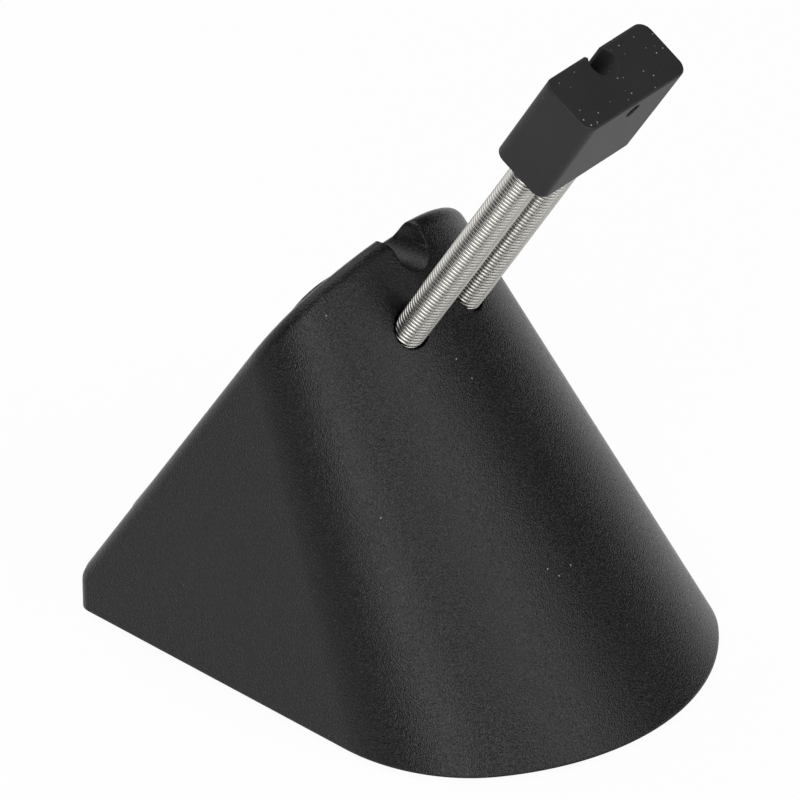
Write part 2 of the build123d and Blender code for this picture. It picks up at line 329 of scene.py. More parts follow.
class BungeeStage(bpy.types.PropertyGroup):
    """Where the camera stands, how strong the lamps are and what the floor is like."""

    azimuth: FloatProperty(
        name="Azimuth", description="Camera round the object", default=radians(-51.61), subtype="ANGLE"
    )
    elevation: FloatProperty(
        name="Elevation", description="Camera above the desk", default=radians(31.09), subtype="ANGLE"
    )
    distance: FloatProperty(
        name="Distance", description="Camera to its aim", default=2.6512, unit="LENGTH"
    )
    lens: FloatProperty(name="Lens", description="Focal length on a 36 mm sensor", default=731.9)
    aim_side: FloatProperty(
        name="Aim side",
        description="Aim to the right of the footprint",
        default=-4.370 * MM,
        unit="LENGTH",
    )
    aim_up: FloatProperty(
        name="Aim up",
        description="Aim above the footprint in the picture",
        default=36.709 * MM,
        unit="LENGTH",
    )
    aim_height: FloatProperty(
        name="Aim height", description="Height of the bottom edge", default=1.0 * MM, unit="LENGTH"
    )
    aim_back: FloatProperty(
        name="Aim back", description="Middle of the bottom edge", default=-0.397 * MM, unit="LENGTH"
    )
    left_power: FloatProperty(
        name="Left", description="Softbox beside the camera", default=4.9, unit="POWER"
    )
    front_power: FloatProperty(
        name="Front", description="Softbox before the nose", default=4.2, unit="POWER"
    )
    back_power: FloatProperty(name="Back", description="Softbox high behind", default=5.0, unit="POWER")
    fill_power: FloatProperty(
        name="Fill", description="Wide softbox low behind", default=6.0, unit="POWER"
    )
    lamp_aim: FloatProperty(
        name="Lamp aim", description="Height the lamps aim at", default=50.0 * MM, unit="LENGTH"
    )
    world_strength: FloatProperty(name="Room", description="Light of the room", default=0.06)
    floor_size: FloatProperty(
        name="Floor size", description="Side of the floor", default=6.0, unit="LENGTH"
    )
    floor_gap: FloatProperty(
        name="Floor gap", description="Floor below the feet", default=0.02 * MM, unit="LENGTH"
    )
    floor_white: FloatProperty(
        name="Floor white",
        description="How much of the floor's shade the eye sees as white",
        default=0.95,
        subtype="FACTOR",
    )


def linear(hex_colour):
    """An sRGB hex value as linear red, green, blue and alpha."""
    channels = []
    for start in (1, 3, 5):
        value = int(hex_colour[start : start + 2], 16) / 255
        if value <= 0.04045:
            channels.append(value / 12.92)
        else:
            channels.append(((value + 0.055) / 1.055) ** 2.4)
    return (*channels, 1.0)


def lighter(colour, times):
    """A linear colour some times as light, with its alpha kept."""
    return (*(times * value for value in colour[:3]), colour[3])


def add_node(tree, kind, inputs=None, **settings):
    """A node of one kind, with its settings, its values and the links into it."""
    made = tree.nodes.new(kind)
    for name, value in settings.items():
        setattr(made, name, value)
    for socket, value in (inputs or {}).items():
        if isinstance(value, bpy.types.NodeSocket):
            tree.links.new(value, made.inputs[socket])
        else:
            made.inputs[socket].default_value = value
    return made


def new_material(name):
    """An empty node material and its tree."""
    material = bpy.data.materials.new(name)
    material.use_nodes = True
    material.node_tree.nodes.clear()
    return material, material.node_tree


def finish_material(tree, shader):
    """Links a shader to the output."""
    add_node(tree, "ShaderNodeOutputMaterial", {"Surface": shader.outputs[0]})


def ramp_between(node, low, high):
    """Sets a colour ramp to climb from black to white between two places."""
    node.color_ramp.elements[0].position = low
    node.color_ramp.elements[1].position = high


def textured_abs():
    """Black ABS moulded in a spark-eroded tool: a dull skin of fine pits that glints in small points, with pale
    pits painted into its colour as painted glints.
    """
    look = bpy.context.scene.bungee_look
    material, tree = new_material("spark_eroded_abs")
    place = add_node(tree, "ShaderNodeTexCoord").outputs["Object"]
    # The pits are about 0.1 mm wide, drawn at 0.23 mm so that they show in the render.
    pits = add_node(tree, "ShaderNodeTexNoise", {"Vector": place, "Scale": 1 / (0.23 * MM), "Detail": 0.0})
    # Pale pits painted into the base colour at four times its lightness: partly grain, partly painted glints
    # standing in for the sparkle of the pits.
    painted_glints = add_node(tree, "ShaderNodeValToRGB", {"Fac": pits.outputs["Fac"]})
    ramp_between(painted_glints, 0.5, 0.8)
    dark = linear(look.abs_colour)
    skin = add_node(
        tree,
        "ShaderNodeMix",
        {"Factor": painted_glints.outputs["Color"], 6: dark, 7: lighter(dark, 4)},
        data_type="RGBA",
    )
    # Flow marks of the moulding, a faint cloud some 14 mm wide.
    cloud = add_node(tree, "ShaderNodeTexNoise", {"Vector": place, "Scale": 1 / (14 * MM), "Detail": 3.0})
    dull = add_node(
        tree,
        "ShaderNodeMapRange",
        {"Value": cloud.outputs["Fac"], "From Min": 0.3, "From Max": 0.7, "To Min": 0.27, "To Max": 0.32},
    )
    # Moulded edges are never sharp, so each one catches a thin line of light.
    edges = add_node(tree, "ShaderNodeBevel", {"Radius": 0.5 * MM}, samples=8)
    bump = add_node(
        tree,
        "ShaderNodeBump",
        {
            "Height": pits.outputs["Fac"],
            "Strength": 0.85,
            "Distance": 0.1 * MM,
            "Normal": edges.outputs["Normal"],
        },
    )
    dusted = add_dust(tree, place, skin.outputs[2], 0.86)
    shader = add_node(
        tree,
        "ShaderNodeBsdfPrincipled",
        {
            "Base Color": dusted,
            "Roughness": dull.outputs["Result"],
            "Normal": bump.outputs["Normal"],
            "IOR": 1.54,
            "Specular IOR Level": 0.22,
        },
    )
    finish_material(tree, shader)
    return material


def add_dust(tree, place, colour, rarity):
    """Pale specks of dust under 0.3 mm wide, in cells that pass the rarity, only on what faces up."""
    look = bpy.context.scene.bungee_look
    normal = add_node(tree, "ShaderNodeTexCoord").outputs["Normal"]
    facing = add_node(tree, "ShaderNodeSeparateXYZ", {"Vector": normal})
    settled = add_node(
        tree,
        "ShaderNodeMapRange",
        {"Value": facing.outputs["Z"], "From Min": 0.05, "From Max": 0.5, "To Min": 0.0, "To Max": 1.0},
    )
    # One speck at most in a cell 1.2 mm wide.
    cells = add_node(
        tree, "ShaderNodeTexVoronoi", {"Vector": place, "Scale": 1 / (1.2 * MM), "Randomness": 1.0}
    )
    near = add_node(
        tree,
        "ShaderNodeMapRange",
        {
            "Value": cells.outputs["Distance"],
            "From Min": 0.06,
            "From Max": 0.12,
            "To Min": 0.7,
            "To Max": 0.0,
        },
    )
    chosen = add_node(
        tree, "ShaderNodeMath", {0: cells.outputs["Color"], 1: rarity}, operation="GREATER_THAN"
    )
    speck = add_node(
        tree,
        "ShaderNodeMath",
        {0: near.outputs["Result"], 1: chosen.outputs["Value"]},
        operation="MULTIPLY",
    )
    lying = add_node(
        tree,
        "ShaderNodeMath",
        {0: speck.outputs["Value"], 1: settled.outputs["Result"]},
        operation="MULTIPLY",
    )
    mixed = add_node(
        tree,
        "ShaderNodeMix",
        {"Factor": lying.outputs["Value"], 6: colour, 7: linear(look.dust_colour)},
        data_type="RGBA",
    )
    return mixed.outputs[2]


def moulded_rubber():
    """Black moulded rubber: a soft even grey bloom with a very fine tooth, and dust that clings to it."""
    look = bpy.context.scene.bungee_look
    material, tree = new_material("moulded_rubber")
    place = add_node(tree, "ShaderNodeTexCoord").outputs["Object"]
    # The tooth is finer than 0.1 mm, drawn at 0.22 mm so that it shows, and the bloom clouds over some 6 mm.
    tooth = add_node(tree, "ShaderNodeTexNoise", {"Vector": place, "Scale": 1 / (0.22 * MM), "Detail": 1.0})
    bloom = add_node(tree, "ShaderNodeTexNoise", {"Vector": place, "Scale": 1 / (6 * MM), "Detail": 3.0})
    dark = linear(look.rubber_colour)
    skin = add_node(
        tree,
        "ShaderNodeMix",
        {"Factor": bloom.outputs["Fac"], 6: dark, 7: lighter(dark, 1.6)},
        data_type="RGBA",
    )
    edges = add_node(tree, "ShaderNodeBevel", {"Radius": 0.25 * MM}, samples=6)
    bump = add_node(
        tree,
        "ShaderNodeBump",
        {
            "Height": tooth.outputs["Fac"],
            "Strength": 0.5,
            "Distance": 0.05 * MM,
            "Normal": edges.outputs["Normal"],
        },
    )
    dusted = add_dust(tree, place, skin.outputs[2], 0.5)
    shader = add_node(
        tree,
        "ShaderNodeBsdfPrincipled",
        {
            "Base Color": dusted,
            "Roughness": 0.55,
            "Normal": bump.outputs["Normal"],
            "IOR": 1.52,
            "Specular IOR Level": 0.27,
        },
    )
    finish_material(tree, shader)
    return material


def foot_rubber():
    """Dense black rubber sheet, punched into discs: dull, with a faint tooth."""
    look = bpy.context.scene.bungee_look
    material, tree = new_material("punched_foot_rubber")
    place = add_node(tree, "ShaderNodeTexCoord").outputs["Object"]
    # Tooth of the sheet, 0.4 mm wide.
    tooth = add_node(tree, "ShaderNodeTexNoise", {"Vector": place, "Scale": 1 / (0.4 * MM), "Detail": 2.0})
    bump = add_node(
        tree, "ShaderNodeBump", {"Height": tooth.outputs["Fac"], "Strength": 0.3, "Distance": 0.05 * MM}
    )
    shader = add_node(
        tree,
        "ShaderNodeBsdfPrincipled",
        {
            "Base Color": linear(look.foot_colour),
            "Roughness": 0.8,
            "Normal": bump.outputs["Normal"],
            "IOR": 1.52,
        },
    )
    finish_material(tree, shader)
    return material


def metal(name, colour, roughness, grain, depth):
    """A bare metal whose gloss varies with a fine grain, given its width and depth."""
    material, tree = new_material(name)
    place = add_node(tree, "ShaderNodeTexCoord").outputs["Object"]
    marks = add_node(tree, "ShaderNodeTexNoise", {"Vector": place, "Scale": 1 / grain, "Detail": 3.0})
    gloss = add_node(
        tree,
        "ShaderNodeMapRange",
        {
            "Value": marks.outputs["Fac"],
            "From Min": 0.3,
            "From Max": 0.7,
            "To Min": 0.8 * roughness,
            "To Max": 1.2 * roughness,
        },
    )
    bump = add_node(
        tree, "ShaderNodeBump", {"Height": marks.outputs["Fac"], "Strength": 0.2, "Distance": depth}
    )
    shader = add_node(
        tree,
        "ShaderNodeBsdfPrincipled",
        {
            "Base Color": linear(colour),
            "Metallic": 1.0,
            "Roughness": gloss.outputs["Result"],
            "Normal": bump.outputs["Normal"],
        },
    )
    finish_material(tree, shader)
    return material


def seen_white(tree):
    """One for rays from the camera and for those that a mirror or glass sends on, else nought."""
    path = add_node(tree, "ShaderNodeLightPath")
    mirrored = add_node(
        tree,
        "ShaderNodeMath",
        {0: path.outputs["Is Camera Ray"], 1: path.outputs["Is Glossy Ray"]},
        operation="ADD",
    )
    passed = add_node(
        tree,
        "ShaderNodeMath",
        {0: mirrored.outputs[0], 1: path.outputs["Is Transmission Ray"]},
        operation="ADD",
        use_clamp=True,
    )
    return passed.outputs[0]


def find_material(name, make):
    """The material of that name, made the first time it is asked for."""
    return bpy.data.materials.get(name) or make()


def find_metal(name, colour, roughness, grain, depth):
    """The bare metal of that name, made the first time it is asked for."""
    return bpy.data.materials.get(name) or metal(name, colour, roughness, grain, depth)


def finish_of(slot):
    """The material for one of the record's slots."""
    look = bpy.context.scene.bungee_look
    if slot == "moulded_abs":
        return find_material("spark_eroded_abs", textured_abs)
    if slot == "soft_rubber":
        return find_material("moulded_rubber", moulded_rubber)
    if slot == "foot_rubber":
        return find_material("punched_foot_rubber", foot_rubber)
    if slot == "spring_steel":
        # Bright drawn stainless wire: mirror lines along the wire, each turn catching the room.
        return find_metal("drawn_stainless_wire", look.wire_colour, 0.26, 0.3 * MM, 0.004 * MM)
    if slot == "screw_steel":
        # Zinc plate: pale, a little cloudy.
        return find_metal("zinc_plated_steel", look.screw_colour, 0.35, 0.5 * MM, 0.01 * MM)
    # Raw cast block: dark and coarse.
    return find_metal("raw_cast_iron", look.iron_colour, 0.6, 0.8 * MM, 0.08 * MM)


def deselect_all():
    """Leaves edit mode and selects nothing."""
    if bpy.context.object and bpy.context.object.mode != "OBJECT":
        bpy.ops.object.mode_set(mode="OBJECT")
    bpy.ops.object.select_all(action="DESELECT")


def take(piece):
    """Makes one object the only selected and the active one."""
    deselect_all()
    piece.select_set(True)
    bpy.context.view_layer.objects.active = piece


def apply_place():
    """Puts the place, turn and scale of what is selected in its mesh."""
    bpy.ops.object.transform_apply(location=True, rotation=True, scale=True)


def apply_modifier(piece, kind, **settings):
    """Adds a modifier with its settings and applies it."""
    take(piece)
    modifier = piece.modifiers.new(kind.lower(), kind)
    for name, value in settings.items():
        setattr(modifier, name, value)
    bpy.ops.object.modifier_apply(modifier=modifier.name)


def carve(piece, cutter, operation="DIFFERENCE"):
    """Cuts a piece with a cutter, or joins the two, and removes the cutter."""
    apply_modifier(piece, "BOOLEAN", object=cutter, operation=operation, solver="EXACT")
    bpy.data.objects.remove(cutter)


def open_whole(piece):
    """Enters edit mode with all of a piece selected."""
    take(piece)
    bpy.ops.object.mode_set(mode="EDIT")
    bpy.ops.mesh.select_all(action="SELECT")


def open_empty(piece, kind):
    """Enters edit mode with nothing selected, to pick one kind of element."""
    take(piece)
    bpy.ops.object.mode_set(mode="EDIT")
    bpy.ops.mesh.select_mode(type=kind)
    bpy.ops.mesh.select_all(action="DESELECT")


def select_edges(piece, chosen):
    """Selects the edges whose two ends pass a test, in edit mode."""
    open_empty(piece, "EDGE")
    bpy.ops.object.mode_set(mode="OBJECT")
    points = piece.data.vertices
    for edge in piece.data.edges:
        edge.select = chosen(points[edge.vertices[0]].co, points[edge.vertices[1]].co)
    bpy.ops.object.mode_set(mode="EDIT")


def select_faces(piece, chosen):
    """Selects the faces that pass a test, in edit mode."""
    open_empty(piece, "FACE")
    bpy.ops.object.mode_set(mode="OBJECT")
    for face in piece.data.polygons:
        face.select = chosen(face)
    bpy.ops.object.mode_set(mode="EDIT")


def round_edges(width, steps, offset_type="OFFSET", profile=0.5):
    """Rounds the selected edges in a number of steps and leaves edit mode."""
    bpy.ops.mesh.bevel(
        offset=width, offset_type=offset_type, segments=steps, profile=profile, affect="EDGES"
    )
    bpy.ops.object.mode_set(mode="OBJECT")


def on_plane(point, normal):
    """A test for edges that lie on a plane."""
    return lambda a, b: max(abs((a - point).dot(normal)), abs((b - point).dot(normal))) < PLANE_REACH


def on_line(point, way):
    """A test for edges that lie on a line."""
    return lambda a, b: max((a - point).cross(way).length, (b - point).cross(way).length) < LINE_REACH


def cut_off(piece, point, normal, fill=False):
    """Removes what lies beyond a plane, where its normal points to, and closes the cut if asked."""
    open_whole(piece)
    bpy.ops.mesh.bisect(
        plane_co=point, plane_no=normal, clear_outer=True, use_fill=fill, threshold=CUT_REACH
    )
    bpy.ops.object.mode_set(mode="OBJECT")


def close_cut(piece, point, normal):
    """Closes the open edges that lie on a plane with one face, and stays in edit mode."""
    select_edges(piece, on_plane(point, normal))
    bpy.ops.mesh.edge_face_add()


def block(middle, sizes):
    """A box with its place and sizes in its mesh."""
    deselect_all()
    bpy.ops.mesh.primitive_cube_add(size=1, location=middle)
    bpy.ops.transform.resize(value=sizes)
    apply_place()
    return bpy.context.object


def rod(steps, diameter, length, middle=(0, 0, 0), lying=False):
    """A cylinder along Z, or along Y where it lies, with its place in its mesh."""
    deselect_all()
    bpy.ops.mesh.primitive_cylinder_add(
        vertices=steps,
        radius=0.5 * diameter,
        depth=length,
        location=middle,
        rotation=(pi / 2 if lying else 0, 0, 0),
    )
    apply_place()
    return bpy.context.object


def copy_of(piece, name, shift=(0, 0, 0)):
    """A copy of a piece with a mesh of its own, moved in that mesh."""
    deselect_all()
    copy = bpy.data.objects.new(name, piece.data.copy())
    bpy.context.scene.collection.objects.link(copy)
    copy.location = shift
    take(copy)
    apply_place()
    return copy


def merged_copy(node):
    """A copy of a CAD node with its loose triangles merged."""
    piece = copy_of(frame["nodes"][node], node + "_copy")
    open_whole(piece)
    bpy.ops.mesh.remove_doubles(threshold=MERGE_REACH)
    bpy.ops.object.mode_set(mode="OBJECT")
    return piece


def arm_axis():
    """The way along the arm, from the base to the head."""
    angle = bpy.context.scene.bungee_arm.angle
    return Vector((0, -cos(angle), sin(angle)))


def place_on_arm(piece, distance, side=0.0):
    """Stands a piece, made along Z at the origin, on the arm axis, and puts its place in its mesh."""
    arm = bpy.context.scene.bungee_arm
    along = arm_axis()
    across = Vector((1, 0, 0))
    root = ARM_MIDDLE - along * arm.free_length / 2
    turn = Matrix((across, along.cross(across), along)).transposed().to_4x4()
    take(piece)
    piece.matrix_world = Matrix.Translation(root + along * distance + across * side) @ turn
    apply_place()


def smooth(piece, crease):
    """Smooth shading up to the angle of a crease, with the broad faces leading."""
    take(piece)
    bpy.ops.object.shade_smooth_by_angle(angle=crease)
    apply_modifier(piece, "WEIGHTED_NORMAL", keep_sharp=True, weight=BROAD_FACES_LEAD)


def settle(piece, name, slot, *nodes, body="base"):
    """Names a finished piece, gives it its finish, hides the CAD nodes it stands for and hangs it on the body it
    rides on, if any.
    """
    piece.name = name
    piece.data.name = name
    piece.data.materials.clear()
    piece.data.materials.append(finish_of(slot))
    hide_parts(*nodes)
    if body:
        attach(piece, body)


def turn_about(axis, line, other_line):
    """Angle between two lines, seen along an axis."""
    return (line - axis * axis.dot(line)).angle(other_line - axis * axis.dot(other_line))


def front_cones():
    """The right side's line from the apex, its way forward, and each cone's axis and turn, right to left."""
    body = bpy.context.scene.bungee_body
    nose, corner = body.nose_cone, body.corner_cone
    front = Vector((0, -body.apex_setback, -body.apex_height)).normalized()
    nose_axis = Matrix.Rotation(nose, 3, "X") @ front
    to_apex = Vector((-body.rear_half_width, body.apex_setback - body.depth, body.apex_height))
    forward = Vector((sin(body.side_taper), -cos(body.side_taper), 0))
    side_normal = to_apex.cross(forward).normalized()
    # A corner cone touches the nose cone and the side wall, which fixes its axis.
    shared = nose_axis.dot(side_normal)
    to_nose, to_side = cos(nose - corner), -sin(corner)
    between = nose_axis * (to_nose - shared * to_side) + side_normal * (to_side - shared * to_nose)
    between /= 1 - shared**2
    corner_axis = between + nose_axis.cross(side_normal).normalized() * sqrt(1 - between.length_squared)
    side_line = (corner_axis + side_normal * sin(corner)) / cos(corner)
    joint_line = (corner_axis * sin(nose) - nose_axis * sin(corner)) / sin(nose - corner)
    corner_turn = turn_about(corner_axis, side_line, joint_line)
    nose_turn = 2 * turn_about(nose_axis, joint_line, front)
    left_axis = Vector((-corner_axis.x, corner_axis.y, corner_axis.z))
    cones = ((corner_axis, corner_turn), (nose_axis, nose_turn), (left_axis, corner_turn))
    return side_line, forward, cones


def rear_normal():
    """Outward normal of the sloped rear face."""
    slope = bpy.context.scene.bungee_body.rear_slope
    return Vector((0, sin(slope), cos(slope)))


def cone_form(inset):
    """Closed form of the shell: one line swept round the cones, carried back along the sides and cut off."""
    body = bpy.context.scene.bungee_body
    low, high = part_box("body_shell")
    share = inset / (high.x - low.x) * 2
    shift = Vector((0, inset - share * body.apex_setback, -share * body.apex_height))
    apex = Vector((0, low.y + body.apex_setback, low.z + body.apex_height)) + shift
    side_line, forward, cones = front_cones()
    # The swept line starts above the ridge and ends below the desk, and the cuts trim it.
    near, far = 0.6 * body.apex_height, 1.4 * body.apex_height
    deselect_all()
    bpy.ops.mesh.primitive_plane_add(size=1 * MM)
    form = bpy.context.object
    bpy.ops.object.mode_set(mode="EDIT")
    bpy.ops.mesh.select_mode(type="VERT")
    bpy.ops.mesh.select_all(action="SELECT")
    bpy.ops.mesh.merge(type="CENTER")
    bpy.ops.transform.translate(value=apex + side_line * near)
    bpy.ops.mesh.extrude_region_move(TRANSFORM_OT_translate={"value": side_line * (far - near)})
    bpy.ops.mesh.select_all(action="SELECT")
    for axis, turn in cones:
        bpy.ops.mesh.spin(steps=body.sweep_steps, angle=-turn, center=apex, axis=axis)
    for side in (1, -1):
        line = Vector((side * side_line.x, side_line.y, side_line.z))
        select_edges(form, on_line(apex, line))
        back = Vector((-side * forward.x, -forward.y, 0)) * 2 * body.depth
        bpy.ops.mesh.extrude_region_move(TRANSFORM_OT_translate={"value": back})
    bpy.ops.mesh.select_all(action="SELECT")
    bpy.ops.mesh.remove_doubles(threshold=MERGE_REACH)

    lean = (body.apex_setback - body.depth) / body.apex_height
    strip_normal = Vector((0, 1, -lean)).normalized()
    strip_point = apex + Vector((0, body.depth - body.apex_setback, -body.apex_height))
    rear = rear_normal()
    rear_edge = Vector((0, low.y + body.depth + lean * body.rear_edge, low.z + body.rear_edge))
    rear_point = rear_edge - rear * inset
    floor_point = Vector((0, 0, low.z - inset))
    cuts = ((floor_point, -UP), (strip_point, strip_normal), (rear_point, rear))
    for point, normal in cuts:
        cut_off(form, point, normal)
    for point, normal in reversed(cuts):
        close_cut(form, point, normal)
    bpy.ops.mesh.select_all(action="SELECT")
    bpy.ops.mesh.normals_make_consistent(inside=False)
    return form, on_plane(rear_point, rear), on_plane(strip_point, strip_normal)


class BUNGEE_OT_shell(bpy.types.Operator):
    """Models the hollow shell with its rounded rim, cable notch, spring mouths and cover recess"""

    bl_idname = "bungee.shell"
    bl_label = "Shell"

    def execute(self, context):
        body = context.scene.bungee_body
        arm = context.scene.bungee_arm
        shell, on_rear, on_strip = cone_form(0.0)
        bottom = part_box("body_shell")[0].z
        lowest = bottom + EDGE_REACH
        select_edges(shell, lambda a, b: on_rear(a, b) or (on_strip(a, b) and max(a.z, b.z) > lowest))
        round_edges(body.rim, WIDE_EDGE_STEPS, offset_type="WIDTH")
        rear = rear_normal()
        for ring in range(1, body.rings):
            select_faces(shell, lambda face: face.normal.dot(rear) < SAME_WAY)
            height = bottom + ring * body.ring_pitch
            bpy.ops.mesh.bisect(plane_co=(0, 0, height), plane_no=UP, threshold=CUT_REACH)

        core = cone_form(body.wall)[0]
        core_top = UP * body.core_top
        cut_off(core, core_top, UP)
        close_cut(core, core_top, UP)
        carve(shell, core)

        # The notch is a round floor, straight walls above it and rounded shoulders where it opens.
        notch_middle = UP * (body.notch_floor + 0.5 * body.notch_width)
        carve(shell, rod(ROUND_STEPS, body.notch_width, body.depth, notch_middle, lying=True))
        above = UP * body.notch_width
        carve(shell, block(notch_middle + above, (body.notch_width, body.depth, 2 * body.notch_width)))
        flare_low = UP * (body.notch_shoulder - body.notch_round)
        flare_width = body.notch_width + 2 * body.notch_round
        flare = block(flare_low + above, (flare_width, body.depth, 2 * body.notch_width))
        for side in SIDES:
            shoulder = flare_low + Vector((side * flare_width, 0, 0))
            carve(flare, rod(ROUND_STEPS, 2 * body.notch_round, 2 * body.depth, shoulder, lying=True))
        carve(shell, flare)

        recess = merged_copy("rear_cover")
        open_whole(recess)
        bpy.ops.transform.shrink_fatten(value=body.cover_gap)
        carve(shell, recess)
        for side in SIDES:
            mouth = rod(ROUND_STEPS, body.hole_diameter, 4 * body.hole_depth)
            place_on_arm(mouth, body.hole_depth, side * arm.spacing)
            carve(shell, mouth)
        smooth(shell, SHELL_CREASE)
        settle(shell, "body_shell_moulding", "moulded_abs", "body_shell")
        return {"FINISHED"}


class BUNGEE_OT_mouldings(bpy.types.Operator):
    """Dresses the rear cover and the base plate"""

    bl_idname = "bungee.mouldings"
    bl_label = "Cover and base plate"

    def execute(self, context):
        for node in ("rear_cover", "base_plate"):
            piece = merged_copy(node)
            smooth(piece, PLATE_CREASE)
            settle(piece, node + "_moulding", "moulded_abs", node)
        return {"FINISHED"}


class BUNGEE_OT_springs(bpy.types.Operator):
    """Winds one close-wound spring from a ring of wire and sets two of them"""

    bl_idname = "bungee.springs"
    bl_label = "Springs"

    def execute(self, context):
        arm = context.scene.bungee_arm
        length = arm.sunk_length + arm.free_length + arm.held_length
        deselect_all()
        bpy.ops.mesh.primitive_circle_add(
            vertices=WIRE_STEPS,
            radius=0.5 * arm.wire,
            location=(0.5 * (arm.coil_diameter - arm.wire), 0, 0.5 * arm.wire),
            rotation=(pi / 2, 0, 0),
        )
        coil = context.object
        apply_place()
        apply_modifier(
            coil,
            "SCREW",
            axis="Z",
            screw_offset=arm.wire,
            iterations=int(length / arm.wire),
            steps=arm.turn_steps,
            render_steps=arm.turn_steps,
            use_merge_vertices=False,
            use_smooth_shade=True,
        )
        open_empty(coil, "EDGE")
        bpy.ops.mesh.select_non_manifold()
        bpy.ops.mesh.edge_face_add()
        bpy.ops.mesh.select_all(action="SELECT")
        bpy.ops.mesh.normals_make_consistent(inside=False)
        for node, side in zip(("left_spring", "right_spring"), SIDES):
            piece = copy_of(coil, node)
            place_on_arm(piece, -arm.sunk_length, side * arm.spacing)
            settle(piece, node + "_coil", "spring_steel", node, body=None)
            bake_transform(piece)
        bpy.data.objects.remove(coil)
        return {"FINISHED"}


class BUNGEE_OT_head(bpy.types.Operator):
    """Models the rubber cable head with its open channel and blind port"""

    bl_idname = "bungee.head"
    bl_label = "Cable head"

    def execute(self, context):
        arm = context.scene.bungee_arm
        half_height = 0.5 * arm.head_height
        head = block((0, 0, half_height), (arm.head_bottom_width, arm.head_depth, arm.head_height))
        select_faces(head, lambda face: face.normal.z > SAME_WAY)
        widen = arm.head_top_width / arm.head_bottom_width
        bpy.ops.transform.resize(value=(widen, 1, 1), center_override=(0, 0, arm.head_height))
        select_edges(head, lambda a, b: (a.z - half_height) * (b.z - half_height) < 0)
        round_edges(arm.head_corner, WIDE_EDGE_STEPS)
        select_edges(head, lambda a, b: (a.z - half_height) * (b.z - half_height) > 0)
        # The ends are broken flatter than a full round, nearly a chamfer.
        round_edges(arm.head_edge, FINE_EDGE_STEPS, profile=0.3)

        bore_middle = Vector((0, 0.5 * arm.head_depth - arm.channel_setback, half_height))
        carve(head, rod(ROUND_STEPS, arm.channel_diameter, 2 * arm.head_height, bore_middle))
        slot_middle = bore_middle + Vector((0, 0.5 * arm.head_depth, 0))
        carve(head, block(slot_middle, (arm.channel_mouth, arm.head_depth, 2 * arm.head_height)))
        port_middle = Vector((0, -0.5 * arm.head_depth, arm.head_height - arm.port_drop))
        carve(head, rod(PORT_STEPS, arm.port_diameter, 2 * arm.port_depth, port_middle, lying=True))
        socket_diameter = arm.coil_diameter + 2 * arm.socket_gap
        socket_length = 2 * (arm.held_length + arm.socket_spare)
        for side in SIDES:
            carve(head, rod(SMALL_ROUND_STEPS, socket_diameter, socket_length, (side * arm.spacing, 0, 0)))
        place_on_arm(head, arm.free_length)
        # The back edge, which stands highest, is broken a little more than the others.
        cut_off(head, UP * cad_high.z, UP, fill=True)
        smooth(head, SMALL_PIECE_CREASE)
        settle(head, "cable_head_rubber", "soft_rubber", "cable_head", body="arm")
        return {"FINISHED"}


class BUNGEE_OT_feet(bpy.types.Operator):
    """Models one rubber foot with its dished sole and sets four of them"""

    bl_idname = "bungee.feet"
    bl_label = "Feet"

    def execute(self, context):
        feet = context.scene.bungee_feet
        nodes = ("foot_front_left", "foot_front_right", "foot_rear_left", "foot_rear_right")
        low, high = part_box(nodes[0])
        middle = (low + high) / 2
        foot = rod(ROUND_STEPS, high.x - low.x, high.z - low.z, middle)
        bottom = low.z + EDGE_REACH
        select_edges(foot, lambda a, b: max(a.z, b.z) < bottom)
        round_edges(feet.edge, SMALL_EDGE_STEPS)
        select_faces(foot, lambda face: face.normal.z < -SAME_WAY)
        bpy.ops.mesh.inset(thickness=feet.ring)
        bpy.ops.mesh.inset(thickness=feet.step, depth=-feet.dish)
        smooth(foot, SMALL_PIECE_CREASE)
        for node in nodes:
            low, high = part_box(node)
            piece = copy_of(foot, node, (low + high) / 2 - middle)
            settle(piece, node + "_pad", "foot_rubber", node)
        bpy.data.objects.remove(foot)
        return {"FINISHED"}


class BUNGEE_OT_screws(bpy.types.Operator):
    """Models one cross-headed screw and sets three of them"""

    bl_idname = "bungee.screws"
    bl_label = "Screws"

    def execute(self, context):
        screws = context.scene.bungee_screws
        low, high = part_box("base_screws")
        radius = 0.5 * screws.head_diameter
        spot = Vector((low.x + radius, high.y - radius, low.z))
        right_spot = Vector((high.x - radius, high.y - radius, low.z))
        front_spot = Vector((0, low.y + radius, low.z))
        head_middle = spot + UP * 0.5 * screws.head_height
        screw = rod(SMALL_ROUND_STEPS, screws.head_diameter, screws.head_height, head_middle)
        rim = low.z + EDGE_REACH
        select_edges(screw, lambda a, b: max(a.z, b.z) < rim)
        round_edges(screws.head_round, SMALL_EDGE_STEPS)
        wing = (screws.cross_length, screws.cross_width)
        for sizes in (wing, wing[::-1]):
            carve(screw, block(spot, (*sizes, 2 * screws.cross_depth)))
        shank_low = low.z + 0.5 * (screws.cross_depth + screws.head_height)
        shank_middle = Vector((spot.x, spot.y, 0.5 * (shank_low + high.z)))
        shank = rod(SHANK_STEPS, screws.shank_diameter, high.z - shank_low, shank_middle)
        carve(screw, shank, "UNION")
        copies = [copy_of(screw, "screw_copy", other - spot) for other in (right_spot, front_spot)]
        take(screw)
        for copy in copies:
            copy.select_set(True)
        bpy.ops.object.join()
        smooth(screw, SMALL_PIECE_CREASE)
        settle(screw, "base_screws_cross", "screw_steel", "base_screws")
        return {"FINISHED"}


class BUNGEE_OT_inside(bpy.types.Operator):
    """Gives the pieces inside the shell their finishes"""

    bl_idname = "bungee.inside"
    bl_label = "Inside"

    def execute(self, context):
        slots = {row["node"]: row["material_slot"] for row in frame["record"]["subparts"]}
        for node, piece in frame["nodes"].items():
            if not piece.hide_render:
                piece.data.materials.clear()
                piece.data.materials.append(finish_of(slots[node]))
        return {"FINISHED"}


